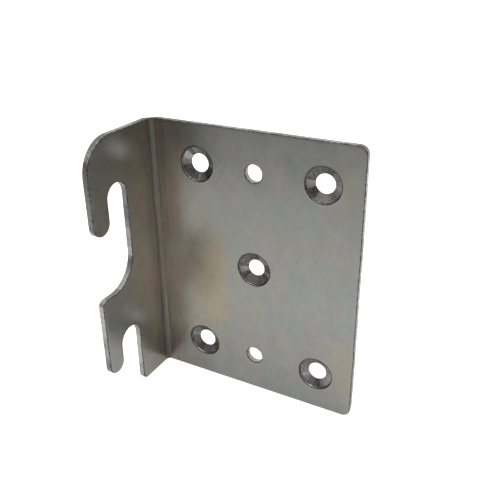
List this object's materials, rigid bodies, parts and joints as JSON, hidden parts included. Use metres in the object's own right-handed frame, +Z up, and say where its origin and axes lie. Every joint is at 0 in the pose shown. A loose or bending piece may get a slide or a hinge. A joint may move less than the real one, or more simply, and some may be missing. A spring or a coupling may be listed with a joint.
{
  "type": "hook bracket",
  "caption": "Folded sheet-steel bracket: a plate with countersunk screw holes, and a flange at right angles whose free edge carries hooks that open downwards.",
  "frame": {"origin": "centre of the footprint of the bounding box, at the lower edge", "axes": "+X along the plate away from the fold, +Y out of the plate's back face, +Z up, so the hooks open towards -Z and the flange stands towards -Y"},
  "size_m": [0.08, 0.0364, 0.1],
  "materials": {
    "steel": "bare mill-finish sheet with faint heat tints, sheared edges"
  },
  "bodies": {
    "root": {"bracket": "steel"}
  },
  "joints": []
}
